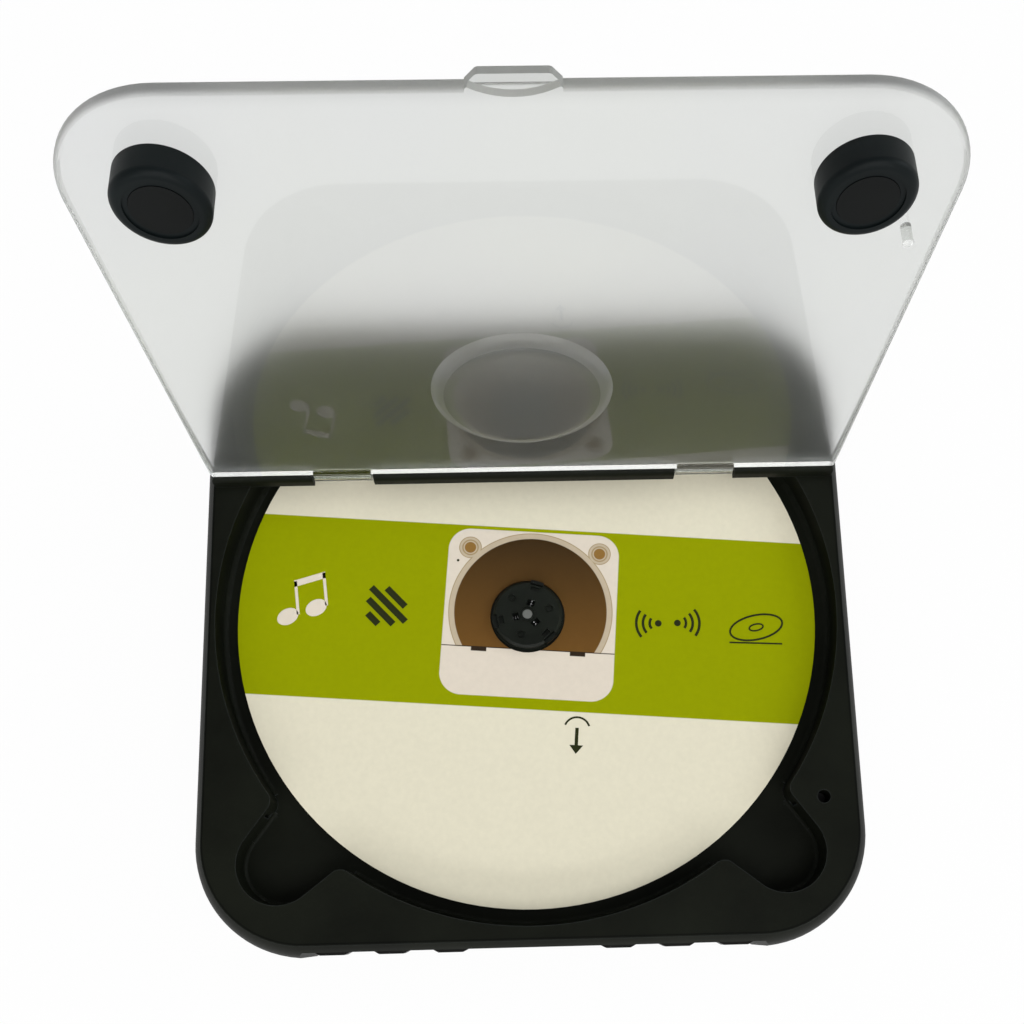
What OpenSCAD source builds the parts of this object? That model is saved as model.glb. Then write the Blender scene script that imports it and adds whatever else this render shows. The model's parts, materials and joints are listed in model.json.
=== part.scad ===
// Wall mounted disc player, lying on its back with the lid swung open.
// Millimetres. X runs to the right, Y from the keys to the hinge and the front panel, Z away from the wall.
// The origin is on the turntable's axis, in the plane the back pads rest on.

/* [Case] */
// Half width of the deck's flat top
deck_half_w = 64.5; // [60:0.5:75]
// Distance from the turntable's axis to the near edge of the deck
deck_near = 65.9; // [62:0.1:75]
// Distance from the turntable's axis to the far edge of the deck
deck_far = 64.5; // [62:0.1:75]
// Corner radius of the deck
deck_r = 20.5; // [10:0.5:30]
// Height of the deck above the wall plane
deck_z = 26; // [24:0.5:36]
// How far the side walls swell out below the deck
swell = 2.4; // [1:0.1:4]
// Radius of the swelling shoulder
shoulder_r = 10; // [6:0.5:16]
// Height of the seam between main case and rear cover
seam_z = 8; // [6:0.5:10]
// Wall thickness of the case
wall = 2.5; // [1.5:0.1:3]
// Thickness of the rear cover's plate
back_t = 2; // [1.5:0.1:3]
// Height of the rubber pads on the back
pad_h = 1; // [0.5:0.1:2]

/* [Disc well] */
// Radius of the well
well_r = 63.2; // [61.5:0.1:64]
// Depth of the well below the deck
well_depth = 6.7; // [5:0.1:9]
// Thickness of the well's floor
floor_t = 1.3; // [1:0.1:2]
// Fillet at the foot of the well
well_fillet = 1.2; // [0.5:0.1:2]
// Sideways position of the two magnet pockets
pocket_x = 49.4; // [45:0.1:52]
// Distance of the magnet pockets from the axis towards the keys
pocket_y = 50; // [46:0.1:54]
// Radius of the magnet pockets
pocket_r = 8.1; // [7.5:0.1:9]
// Rounding of the corners between pocket and well
neck_r = 2.5; // [1:0.1:4]
// Fillet at the foot of the pockets
pocket_fillet = 0.9; // [0.5:0.1:3]
// Radius of the opening around the turntable
hub_opening_r = 18.2; // [17:0.1:22]
// Half width of the pickup's window in the floor
window_half_w = 12; // [9:0.5:16]
// Far end of the pickup's window
window_end = 60.2; // [50:0.1:61]

/* [Lid] */
// Half width of the lid
lid_half_w = 64.1; // [60:0.1:74]
// Thickness of the lid
lid_t = 2.4; // [2:0.1:4]
// Gap between closed lid and deck
lid_gap = 0.3; // [0.1:0.1:1]
// Corner radius of the lid's free corners
lid_r = 18.3; // [10:0.1:30]
// Angle between closed and open lid
lid_open = 97.9; // [60:0.1:130]
// Distance of the lid's hinge edge from the hinge axis
lid_edge = 2.2; // [2:0.1:4]
// Rounding around the lid's outer face
lid_bevel = 1.1; // [0.2:0.1:1.5]
// Rounding around the lid's inner face
lid_soft = 0.8; // [0.3:0.1:1]
// Distance from the turntable's axis to the closed lid's near edge
lid_near = 64.2; // [61:0.1:66]
// Radius of the raised pad over the hub
pad_r = 16.5; // [12:0.1:20]
// Radius of the pad's flat centre
pad_flat_r = 12.5; // [8:0.1:16]
// Height of the raised pad
pad_rise = 1.5; // [0.8:0.1:2.5]
// Half width of the thumb tab at its root
tab_root = 6.3; // [5:0.1:12]
// Half width of the thumb tab at its tip
tab_tip = 5.3; // [3:0.1:10]
// How far the thumb tab stands out
tab_out = 1.6; // [1:0.1:3]
// Radius of the nail scoop
scoop_r = 12.7; // [8:0.1:16]
// Depth of the nail scoop
scoop_depth = 0.7; // [0.5:0.1:1]
// Radius of the pin that works the lid switch
switch_pin_r = 0.8; // [0.5:0.1:1.2]
// Length of the pin that works the lid switch
switch_pin_l = 3.2; // [2:0.1:5]
// Sideways position of the magnet cups
cup_x = 48.8; // [45:0.1:52]
// Distance of the magnet cups from the axis when the lid is closed
cup_y = 49.5; // [46:0.1:54]
// Radius of the magnet cups
cup_r = 6.9; // [6:0.1:7.5]
// Height of the magnet cups
cup_h = 4.9; // [3:0.1:5]
// Radius of the magnets
magnet_r = 4.3; // [3:0.1:5]
// Thickness of the magnets
magnet_t = 2.8; // [2:0.1:4]

/* [Hinge] */
// Front face of the panel, measured from the turntable's axis
panel_y = 27.6; // [25:0.1:32]
// Height of the panel above the deck
panel_h = 3.4; // [3:0.1:5]
// Sideways position of the hinge tabs
hinge_tab_x = 37.3; // [20:0.1:50]
// Width of each hinge tab
hinge_tab_w = 11.8; // [8:0.1:16]
// Side play between hinge tab and notch
hinge_play = 0.3; // [0.2:0.1:1]
// Radius of the hinge pins
hinge_pin_r = 0.6; // [0.4:0.05:1]

/* [Keys] */
// Distance of the inner pair of keys from the middle
key_first = 16.8; // [12:0.1:20]
// Pitch of the keys
key_pitch = 11.8; // [9:0.1:14]
// Length of a key
key_w = 7.6; // [5:0.1:9]
// Height of a key
key_h = 4.6; // [3:0.1:6]
// How far a key stands out of the recess
key_out = 0.7; // [0.4:0.1:1.5]
// Travel of a key
key_travel = 0.5; // [0.2:0.1:1]
// Height of the keys' centres
key_z = 14; // [11:0.1:18]
// Half length of the recess around the keys
recess_half_w = 46.5; // [35:0.5:50]
// Depth of the recess around the keys
recess_depth = 1.1; // [0.5:0.1:2]
// Centre of the power slider along the right wall
slider_y = -28.7; // [-40:0.1:-15]
// Travel of the power slider
slider_travel = 4; // [2:0.1:6]

/* [Turntable] */
// Height of the disc seat above the well's floor
seat_rise = 0.9; // [0.5:0.1:2]
// Radius of the platter
platter_r = 16.5; // [12:0.1:17.5]
// Thickness of the platter
platter_t = 1.5; // [1:0.1:2]
// Radius of the centring collar
collar_r = 7.45; // [7.3:0.01:7.5]
// Radius of the hub above the collar
hub_r = 7.1; // [6.5:0.05:7.4]
// Height of the hub above the seat
hub_h = 2.4; // [2:0.1:4]
// Direction of the first jaw
jaw_angle = 72; // [0:1:120]
// Radius of the spindle's shaft
shaft_r = 1; // [0.7:0.05:1.5]
// Radius of the spindle motor
motor_r = 12; // [9:0.5:14]
// Radius of the card
card_r = 60; // [40:0.5:60]
// Thickness of the card
card_t = 0.4; // [0.2:0.1:1.2]
// Radius of the card's hole
card_hole_r = 7.75; // [7.5:0.01:7.8]

/* [Pickup drive] */
// Lens position nearest the axis
lens_in = 24; // [22:0.5:28]
// Travel of the pickup
sled_travel = 31; // [20:0.5:34]
// Sideways position of the guide rods
rod_x = 24; // [20:0.5:28]
// Radius of the guide rods
rod_r = 1.25; // [1:0.05:2]
// Tooth size of rack and pinion
rack_module = 0.6; // [0.4:0.1:1]
// Teeth of the pinion on the rack
rack_teeth = 12; // [10:1:20]
// Tooth size of the reduction
gear_module = 0.5; // [0.3:0.1:1]
// Teeth of the large gear
gear_teeth = 36; // [24:1:48]
// Teeth of the motor's pinion
pinion_teeth = 9; // [8:1:14]

/* [Hidden] */
$fn = 96;
eps = 0.01;

// Case heights and outlines
out_w = deck_half_w + swell;
out_near = deck_near + swell;
out_far = deck_far + swell;
out_r = deck_r + swell;
in_w = out_w - wall;
in_near = out_near - wall;
in_far = out_far - wall;
in_r = out_r - wall;
shoulder_z = deck_z - sqrt(shoulder_r * shoulder_r - (shoulder_r - swell) * (shoulder_r - swell));
floor_z = deck_z - well_depth;
slab_z = floor_z - floor_t;
back_z = pad_h;
back_in = back_z + back_t;
foot_r = 2.5;
seam_gap = 0.2;
lip_t = 1;
lip_h = 1.6;
lip_play = 0.15;
lip_in = lip_play + lip_t;
core_top = deck_z - 2;
core_inset = 4.6;
tub_r = well_r + 2;
fillet_root = 0.3;
fillet_bite = 0.02;
foot_gap = 0.04;
side_bite = 0.01;
neck_margin = 0.3;

// Hinge
hinge_z = deck_z + panel_h / 2;
nose_r = panel_h / 2;
hinge_y = panel_y + nose_r;
lid_in_z = deck_z + lid_gap;
lid_out_z = lid_in_z + lid_t;
lid_hinge_y = hinge_y - lid_edge;
cup_z = lid_in_z - cup_h;
knuckle_r = 1.35;
notch_deep = 3.6;
notch_w = hinge_tab_w + 2 * hinge_play;
panel_t = 1.6;
panel_round = 0.8;
panel_far = deck_far - 0.3;
panel_corner_r = 20;

// Post and screw sizes
post_x = 55.5;
post_near = -57;
post_far = 55.5;
post_r = 3;
post_bore_r = 1.25;
screw_r = 1.2;
head_r = 2.4;
head_h = 1.1;
screw_len = 9;
bore_depth = 10;

// Pin hole and lid switch
pin_x = 57.75;
pin_y = -39.6;
pin_hole_r = 1.3;
plunger_r = 1;
plunger_top = deck_z - switch_pin_l + lid_gap - 0.3;

// Keys
recess_y = -(out_near - recess_depth);
key_face = recess_y - key_out;
key_play = 0.2;
key_corner = 1.6;
key_rib = 0.8;
key_flange_y = -in_near + 0.2;

// Board
board_z = 10.6;
board_t = 1.4;
board_top = board_z + board_t;
board_half_w = 52;
board_near = -62.3;
board_far = -27.5;
board_wing_y = -50;
board_wing_left = 62;
board_wing_right = 60;
board_wing_far = -21.5;
tact_w = 6;
tact_h = 4;
tact_front = -62.9;
tact_back = -59.3;
tact_tip = -64;
tact_tip_r = 1;
key_back = tact_tip - key_travel - 0.1;

// Drive
seat_z = floor_z + seat_rise;
plate_top = slab_z - 0.8;
plate_t = 2;
plate_bot = plate_top - plate_t;
motor_top = plate_bot;
motor_bot = 7.4;
chassis_near = -25;
chassis_far = 63.2;
chassis_w = 43;
chassis_wide = 49.8;
drive_x = 37.5;
drive_near = -19;
drive_far = 56;
drive_post_r = 2.4;
grommet_hole_r = 3.6;
grommet_r = 4.9;
grommet_low = plate_bot - 1.4;
rod_z = 11.3;
rod_start = 8;
rod_end = 60.6;
lens_y = lens_in;
rack_x = 31;
rack_pr = rack_module * rack_teeth / 2;
gear_x = rack_x + rack_pr;
gear_y = lens_in;
gear_pr = gear_module * gear_teeth / 2;
pin_pr = gear_module * pinion_teeth / 2;
gear_dist = gear_pr + pin_pr;
sled_motor_x = gear_x + gear_dist * cos(45);
sled_motor_y = gear_y - gear_dist * sin(45);
rack_z = 10.4;
rack_t = 2.2;
gear_z = 6.8;
gear_t = 1.6;

// Smaller fixed sizes
slider_len = 9.4;
slider_h = 3.2;
slider_z = 13.6;
slider_out = 0.5;
slider_rib = 0.6;
slider_rim = 19;
slide_body_x = 52.6;
slide_body_w = 5;
slide_body_l = 11;
slide_body_h = 3.2;
slide_knob_x = 55.6;
lid_switch_h = 2;
plunger_foot = 1;
plunger_foot_top = 16.2;
charge_y = -32;
charge_z = 12;
charge_w = 8.9;
charge_h = 3.2;
charge_d = 7.3;
phone_y = -44;
phone_z = 14.2;
phone_collar_r = 2.9;
phone_bore_r = 1.8;
speaker_y = 33;
speaker_z = 10;
speaker_w = 22;
speaker_h = 13;
speaker_d = 9;
speaker_r = 6;
grille_slots = 6;
grille_pitch = 3;
grille_slot = 1.2;
grille_z = 12.6;
grille_h = 6.5;
battery_w = 68;
battery_d = 27;
battery_h = 6;
battery_y = -59;
hang_x = 33;
hang_y = -2;
hang_slot = 7;
hang_head_r = 4.2;
hang_neck_r = 2.1;
hang_deep = 3;
hang_box_w = 11;
hang_box_m = 5.5;
pad_x = 44;
pad_y = 50;
pad_rad = 5;
drive_bore = 5;
drive_bore_r = 1;
drive_screw_l = 6;
panel_bore = 2.2;
panel_screw_l = 5;
panel_screw_r = 0.93;
hinge_pin_l = 17;
pad_edge_r = (pow(pad_r - pad_flat_r, 2) + pow(pad_rise, 2)) / (2 * pad_rise);
scoop_sag = 1.25;
tab_corner = 0.9;
cup_step = 0.3;
cup_round = 1.2;
tab_step = 0.4;
scoop_slope = 0.5;
key_slope = 1.6;
cup_ring = 0.8;
catch_t = 1.5;
catch_r = 6.3;
key_dish_w = 4.6;
key_dish_h = 1.4;
key_dish = 0.3;
board_posts = [[-45, -34], [45, -34], [-33.5, -54], [33.5, -54]];
board_post_r = 2;
board_bore_r = 1;
board_bore = 4.5;
board_screw_l = 5.5;
pocket_wall = 1.7;
chassis_cut = 14;
sled_opening = 20.5;
sled_motor_r = 6.4;
sled_motor_z = 10.6;
collar_h = 0.7;
hub_chamfer = 0.5;
jaw_z = seat_z + collar_h;
jaw_h = 1.1;
jaw_in = 5.2;
jaw_nose = 6.5;
jaw_nose_h = 1.4;
jaw_half_w = 1.35;
jaw_travel = 0.3;
spring_slot = 0.6;
spring_from = 2;
spring_pitch = 0.55;
spring_rings = 6;
spring_r = 0.36;
spring_wire = 0.12;
lens_well = 2.4;
lens_hold_r = 4.6;
lens_r = 2.6;
lens_ball = 4;
pinion_phase = 15;

// Plain outline with four round corners
module rounded(half_w, near, far, r) {
  translate([-half_w, -near + r]) square([2 * half_w, near + far - 2 * r]);
  translate([-half_w + r, -near]) square([2 * half_w - 2 * r, near + far]);
  for (sx = [-1, 1]) {
    translate([sx * (half_w - r), -near + r]) circle(r);
    translate([sx * (half_w - r), far - r]) circle(r);
  }
}

// Straight run of a profile along one side; the profile is drawn outwards and upwards
module run(angle, dist, mid, len) {
  rotate([0, 0, angle]) translate([dist, mid + len / 2, 0]) rotate([90, 0, 0])
    linear_extrude(len) children();
}

// Quarter turn of a profile, drawn outwards and upwards, around a corner's centre
module bend(centre, r, start, angle = 90) {
  translate([centre[0], centre[1], 0]) rotate([0, 0, start])
    rotate_extrude(angle = angle) translate([r, 0]) children();
}

// Carries a profile, drawn outwards from the deck's outline, once around it
module around() {
  cx = deck_half_w - deck_r;
  cn = deck_r - deck_near;
  cf = deck_far - deck_r;
  mid = (cn + cf) / 2;
  run(0, deck_half_w, mid, cf - cn) children();
  run(90, deck_far, 0, 2 * cx) children();
  run(180, deck_half_w, -mid, cf - cn) children();
  run(270, deck_near, 0, 2 * cx) children();
  bend([cx, cf], deck_r, 0) children();
  bend([-cx, cf], deck_r, 90) children();
  bend([-cx, cn], deck_r, 180) children();
  bend([cx, cn], deck_r, 270) children();
}

// Recess around the keys, cut through the whole height of the near wall
module key_recess() {
  slope = recess_depth + 0.6;
  translate([0, 0, -1]) linear_extrude(deck_z) polygon([
    [-recess_half_w + slope, recess_y],
    [recess_half_w - slope, recess_y],
    [recess_half_w, -out_near - 0.5],
    [recess_half_w, -out_near - 3],
    [-recess_half_w, -out_near - 3],
    [-recess_half_w, -out_near - 0.5]
  ]);
}

// Way along u from p to the circle of radius r around the turntable's axis
function reach(p, u, r) = -(u * p) - sqrt(pow(u * p, 2) - p * p + r * r);

// Sides of a pocket's mouth: direction, outward normal and tangent point on the pocket's circle
mouth_dirs = [38, 54];
pocket_c = [-pocket_x, -pocket_y];
function side_u(i) = [cos(mouth_dirs[i]), sin(mouth_dirs[i])];
function side_n(i) = (1 - 2 * i) * [sin(mouth_dirs[i]), -cos(mouth_dirs[i])];
function side_p(i) = pocket_c + (pocket_r - side_bite) * side_n(i);
function neck_q(i) = side_p(i) + neck_r * side_n(i);
function neck_s(i) = reach(neck_q(i), side_u(i), well_r + neck_r);
function neck_c(i) = neck_q(i) + side_u(i) * neck_s(i);
function neck_angle(i) = atan2(neck_c(i)[1], neck_c(i)[0]);
function foot_mid(i) = (neck_s(i) + foot_gap) / 2;
function foot_len(i) = neck_s(i) - foot_gap;

// Outline of the left magnet pocket with its mouth and the rounded corners towards the well
module pocket_outline() {
  translate(pocket_c) circle(pocket_r);
  polygon([
    side_p(0),
    side_p(0) + side_u(0) * (reach(side_p(0), side_u(0), well_r) + 2),
    side_p(1) + side_u(1) * (reach(side_p(1), side_u(1), well_r) + 2),
    side_p(1)
  ]);
  for (i = [0, 1]) {
    difference() {
      polygon([
        neck_c(i),
        neck_c(i) - (neck_r + 0.5) * side_n(i),
        pocket_c * 0.82,
        neck_c(i) * (well_r - 0.5) / (well_r + neck_r)
      ]);
      translate(neck_c(i)) circle(neck_r + side_bite);
    }
  }
}

module both_pockets() {
  pocket_outline();
  mirror([1, 0]) pocket_outline();
}

// Foot fillet, rooted in wall and floor
module fillet_profile(r) {
  difference() {
    translate([-fillet_root, -fillet_root]) square(r + fillet_root);
    translate([r, r]) circle(r + fillet_bite);
  }
}

// Fillets at the foot of the left pocket; a hairline parts the straight ones from the round one
module pocket_feet() {
  translate([0, 0, floor_z]) {
    translate([pocket_c[0], pocket_c[1], 0]) rotate([0, 0, 90 + mouth_dirs[1]])
      rotate_extrude(angle = 180 + mouth_dirs[0] - mouth_dirs[1]) translate([pocket_r, 0])
        mirror([1, 0]) fillet_profile(pocket_fillet);
    run(90 + mouth_dirs[0], -(side_p(0) * side_n(0)), -(side_p(0) * side_u(0)) - foot_mid(0), foot_len(0))
      fillet_profile(pocket_fillet);
    run(mouth_dirs[1] - 90, -(side_p(1) * side_n(1)), side_p(1) * side_u(1) + foot_mid(1), foot_len(1))
      fillet_profile(pocket_fillet);
  }
}

// Fillet at the foot of the well between the pockets
module well_foot_arc(start, sweep) {
  translate([0, 0, floor_z]) rotate([0, 0, start]) rotate_extrude(angle = sweep)
    translate([well_r, 0]) mirror([1, 0]) fillet_profile(well_fillet);
}

module well_foot() {
  near_end = neck_angle(0) + neck_margin;
  far_end = neck_angle(1) - neck_margin;
  well_foot_arc(near_end, -180 - 2 * near_end);
  well_foot_arc(-180 - far_end, 540 + 2 * far_end);
}

// Side wall profile above the seam
module upper_profile() {
  translate([-1, seam_z]) square([swell + 1, shoulder_z - seam_z]);
  intersection() {
    translate([swell - shoulder_r, shoulder_z]) circle(shoulder_r);
    translate([-1, shoulder_z - eps]) square([swell + 1, deck_z - shoulder_z + eps]);
  }
}

// Side wall profile below the seam
module lower_profile() {
  translate([-1, back_z + foot_r]) square([swell + 1, seam_z - seam_gap - back_z - foot_r]);
  translate([-1, back_z]) square([swell + 1 - foot_r, foot_r + eps]);
  intersection() {
    translate([swell - foot_r, back_z + foot_r]) circle(foot_r);
    translate([-1, back_z]) square([swell + 1, foot_r + eps]);
  }
}

posts = [[-post_x, post_near], [post_x, post_near], [-post_x, post_far], [post_x, post_far]];
drive_posts = [[-drive_x, drive_near], [drive_x, drive_near], [-drive_x, drive_far], [drive_x, drive_far]];
panel_posts = [[-50, 50], [50, 50], [-59.5, 33], [59.5, 33]];
keys_x = [
  -key_first - 2 * key_pitch, -key_first - key_pitch, -key_first,
  key_first, key_first + key_pitch, key_first + 2 * key_pitch
];

// Rounded bar along Y, drawn as a key's outline seen from the front
module key_block(w, h, r, y0, y1) {
  translate([0, y1, 0]) rotate([90, 0, 0]) linear_extrude(y1 - y0) {
    square([w - 2 * r, h], center = true);
    square([w, h - 2 * r], center = true);
    for (sx = [-1, 1], sz = [-1, 1]) translate([sx * (w / 2 - r), sz * (h / 2 - r)]) circle(r);
  }
}

module slider_opening() {
  len = slider_len + slider_travel + 0.6;
  translate([out_w + 1, slider_y - len / 2, slider_z - slider_h / 2 - key_play])
    mirror([1, 0, 0]) cube([wall + 2, len, slider_h + 2 * key_play]);
}

module grille(side) {
  for (i = [0 : grille_slots - 1])
    translate([side * (in_w + wall / 2), speaker_y + (i - (grille_slots - 1) / 2) * grille_pitch, grille_z])
      cube([wall + 2, grille_slot, grille_h], center = true);
}

// Side walls and deck, hollow below and between well, pockets and walls
module case_shell() {
  difference() {
    union() {
      translate([0, 0, seam_z]) linear_extrude(deck_z - seam_z)
        rounded(deck_half_w, deck_near, deck_far, deck_r);
      around() upper_profile();
    }
    translate([0, 0, seam_z - 1]) linear_extrude(slab_z - seam_z + 1)
      rounded(in_w, in_near, in_far, in_r);
    translate([0, 0, slab_z - eps]) linear_extrude(core_top - slab_z) difference() {
      rounded(out_w - core_inset, out_near - core_inset, out_far - core_inset, out_r - core_inset);
      circle(tub_r);
      for (s = [0, 1]) mirror([s, 0]) {
        translate(pocket_c) circle(pocket_r + pocket_wall);
        for (i = [0, 1]) translate(neck_c(i)) circle(neck_r);
      }
    }
  }
}

// Posts for the rear cover, the drive and the board, and the guide of the lid switch plunger
module case_posts() {
  for (p = posts) translate([p[0], p[1], back_in + 0.2])
    cylinder(h = core_top - back_in, r = post_r);
  for (p = drive_posts) translate([p[0], p[1], grommet_low])
    cylinder(h = slab_z - grommet_low + 0.5, r = drive_post_r);
  for (p = board_posts) translate([p[0], p[1], board_top + 0.05])
    cylinder(h = slab_z - board_top + 0.4, r = board_post_r);
  translate([pin_x, pin_y, plunger_foot_top + 0.3])
    cylinder(h = core_top - plunger_foot_top, r = pin_hole_r + 1.2);
}

// Upper shell with the disc well, the magnet pockets and the posts
module main_case() {
  color([0.07, 0.07, 0.07]) difference() {
    union() {
      difference() {
        union() {
          case_shell();
          case_posts();
        }
        translate([0, 0, floor_z]) cylinder(h = well_depth + 1, r = well_r);
        translate([0, 0, floor_z]) linear_extrude(well_depth + 1) both_pockets();
      }
      well_foot();
      pocket_feet();
      mirror([1, 0, 0]) pocket_feet();
    }
    // turntable opening and pickup window
    translate([0, 0, slab_z - 1]) cylinder(h = floor_t + 2, r = hub_opening_r);
    translate([-window_half_w, 0, slab_z - 1]) cube([2 * window_half_w, window_end, floor_t + 2]);
    for (p = posts) translate([p[0], p[1], back_in]) cylinder(h = bore_depth, r = post_bore_r);
    for (p = drive_posts) translate([p[0], p[1], grommet_low - 1])
      cylinder(h = drive_bore + 1, r = drive_bore_r);
    for (p = board_posts) translate([p[0], p[1], board_top - 1])
      cylinder(h = board_bore + 1, r = board_bore_r);
    for (p = panel_posts) translate([p[0], p[1], slab_z - 1])
      cylinder(h = well_depth + 4, r = post_bore_r);
    translate([pin_x, pin_y, slab_z - 6]) cylinder(h = 20, r = pin_hole_r);
    key_recess();
    for (x = keys_x) translate([x, 0, key_z]) key_block(
      key_w + 2 * key_play, key_h + 2 * key_play, key_corner + key_play, -out_near - 1, -in_near + 1);
    slider_opening();
    for (s = [-1, 1]) grille(s);
    // openings for the two sockets
    translate([-out_w - 1, charge_y - charge_w / 2 - 0.2, charge_z - 0.2])
      cube([wall + 2, charge_w + 0.4, charge_h + 0.4]);
    translate([-out_w - 1, phone_y, phone_z]) rotate([0, 90, 0])
      cylinder(h = wall + 2, r = phone_collar_r + 0.15);
  }
}

// Back shell with keyholes, counterbores and the locating lip
module rear_cover() {
  color([0.08, 0.08, 0.08]) difference() {
    union() {
      difference() {
        union() {
          translate([0, 0, back_z]) linear_extrude(seam_z - seam_gap - back_z)
            rounded(deck_half_w, deck_near, deck_far, deck_r);
          around() lower_profile();
          translate([0, 0, seam_z - seam_gap - 1]) linear_extrude(lip_h + 1)
            rounded(in_w - lip_play, in_near - lip_play, in_far - lip_play, in_r - lip_play);
        }
        translate([0, 0, back_in]) linear_extrude(seam_z)
          rounded(in_w - lip_in, in_near - lip_in, in_far - lip_in, in_r - lip_in);
      }
      // closed boxes behind the keyholes
      for (s = [-1, 1])
        translate([s * hang_x - hang_box_w / 2, hang_y - hang_slot - hang_box_m, back_in - eps])
          cube([hang_box_w, hang_slot + 2 * hang_box_m, hang_deep + 1]);
      for (p = posts) translate([p[0], p[1], back_z]) cylinder(h = back_t, r = head_r + 1.2);
    }
    for (p = posts) {
      translate([p[0], p[1], back_in]) cylinder(h = seam_z, r = post_r + 0.3);
      translate([p[0], p[1], back_z - 1]) cylinder(h = back_t + 2, r = post_bore_r);
      translate([p[0], p[1], back_z - 1]) cylinder(h = 1 + head_h, r = head_r + 0.2);
    }
    for (s = [-1, 1]) translate([s * hang_x, hang_y, 0]) {
      translate([0, 0, back_z - 1]) cylinder(h = back_t + 1 + hang_deep, r = hang_head_r);
      translate([0, -hang_slot, back_z - 1]) cylinder(h = back_t + 2, r = hang_neck_r);
      translate([-hang_neck_r, -hang_slot, back_z - 1]) cube([2 * hang_neck_r, hang_slot, back_t + 2]);
      translate([0, -hang_slot, back_in]) cylinder(h = hang_deep, r = hang_head_r);
      translate([-hang_head_r, -hang_slot, back_in]) cube([2 * hang_head_r, hang_slot, hang_deep]);
    }
    key_recess();
  }
}

module rear_pads() {
  color([0.12, 0.12, 0.12])
    for (sx = [-1, 1], sy = [-1, 1]) translate([sx * pad_x, sy * pad_y, 0])
      cylinder(h = pad_h, r = pad_rad);
}

// Small screw with a flat head below and its shank upwards
module screw(len, shank_r, cap_r, cap_h, slot) {
  difference() {
    union() {
      cylinder(h = cap_h, r = cap_r);
      cylinder(h = len, r = shank_r);
    }
    for (a = [0, 90]) rotate([0, 0, a]) translate([-slot, -0.2, -1]) cube([2 * slot, 0.4, 1.5]);
  }
}

module rear_screws() {
  color([0.35, 0.35, 0.37]) for (p = posts) translate([p[0], p[1], back_z + 0.1])
    screw(screw_len, screw_r, head_r, head_h - 0.1, 1.3);
}

// Rounding of the lid's or panel's free edges: half width, end, start, corner radius, top height, rounding
module edge_cut(half_w, end, from, r, top, c) {
  cy = end - r;
  run(0, half_w, (from + cy) / 2, cy - from) edge_profile(top, c);
  run(180, half_w, -(from + cy) / 2, cy - from) edge_profile(top, c);
  run(90, end, 0, 2 * (half_w - r)) edge_profile(top, c);
  bend([half_w - r, cy], r, 0) edge_profile(top, c);
  bend([-(half_w - r), cy], r, 90) edge_profile(top, c);
}

module edge_profile(top, c) {
  translate([0, top]) difference() {
    translate([-c, -c]) square(c + 0.2);
    translate([-c, -c]) circle(c);
  }
}

// Fixed cover beyond the hinge; its front edge is a round nose about the hinge axis
module front_panel() {
  color([0.06, 0.06, 0.06]) difference() {
    union() {
      translate([0, 0, deck_z]) linear_extrude(panel_h) {
        translate([-lid_half_w, hinge_y]) square([2 * lid_half_w, panel_far - panel_corner_r - hinge_y]);
        translate([-lid_half_w + panel_corner_r, hinge_y])
          square([2 * (lid_half_w - panel_corner_r), panel_far - hinge_y]);
        for (s = [-1, 1]) translate([s * (lid_half_w - panel_corner_r), panel_far - panel_corner_r])
          intersection() {
            circle(panel_corner_r);
            translate([-panel_corner_r - 1, -4]) square(2 * panel_corner_r + 2);
          }
      }
      translate([-lid_half_w, hinge_y, hinge_z]) rotate([0, 90, 0])
        cylinder(h = 2 * lid_half_w, r = nose_r);
      translate([-lid_half_w, panel_y, deck_z]) cube([2 * lid_half_w, nose_r, nose_r]);
    }
    edge_cut(lid_half_w, panel_far, hinge_y - nose_r - 1, panel_corner_r, deck_z + panel_h, panel_round);
    // hollow underside
    translate([0, 0, deck_z - 1]) linear_extrude(panel_h - panel_t + 1) difference() {
      rounded(lid_half_w - 2, 0, panel_far - 2, panel_corner_r - 2);
      translate([-lid_half_w, -1]) square([2 * lid_half_w, hinge_y + notch_deep + 2]);
      for (p = panel_posts) translate(p) circle(post_r);
    }
    for (s = [-1, 1]) {
      translate([s * hinge_tab_x - notch_w / 2, panel_y - 1, deck_z - 1])
        cube([notch_w, notch_deep + 1, panel_h + 2]);
      translate([s * hinge_tab_x - hinge_pin_l / 2, hinge_y, hinge_z]) rotate([0, 90, 0])
        cylinder(h = hinge_pin_l, r = hinge_pin_r + 0.02);
    }
    for (p = panel_posts) translate([p[0], p[1], deck_z - 1])
      cylinder(h = panel_bore + 1, r = post_bore_r - 0.3);
  }
}

module panel_screws() {
  color([0.35, 0.35, 0.37])
    for (p = panel_posts) translate([p[0], p[1], core_top - 1.05])
      screw(panel_screw_l, panel_screw_r, 2, 1, 1.1);
}

// Brings a piece drawn on the closed lid to the open position
module opened() {
  translate([0, hinge_y, hinge_z]) rotate([-lid_open, 0, 0]) translate([0, -hinge_y, -hinge_z]) children();
}

// Outline of the thumb tab with its rounded corners
module tab_outline() {
  tip = [for (a = [0 : 10 : 50])
    [tab_tip - tab_corner * (1 - sin(a)), -lid_near - tab_out + tab_corner * (1 - cos(a))]];
  other = [for (i = [len(tip) - 1 : -1 : 0]) [-tip[i][0], tip[i][1]]];
  polygon(concat(
    tip,
    [
      [tab_root, -lid_near + eps],
      [tab_root, -lid_near + lid_bevel],
      [-tab_root, -lid_near + lid_bevel],
      [-tab_root, -lid_near + eps]
    ],
    other
  ));
}

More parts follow.
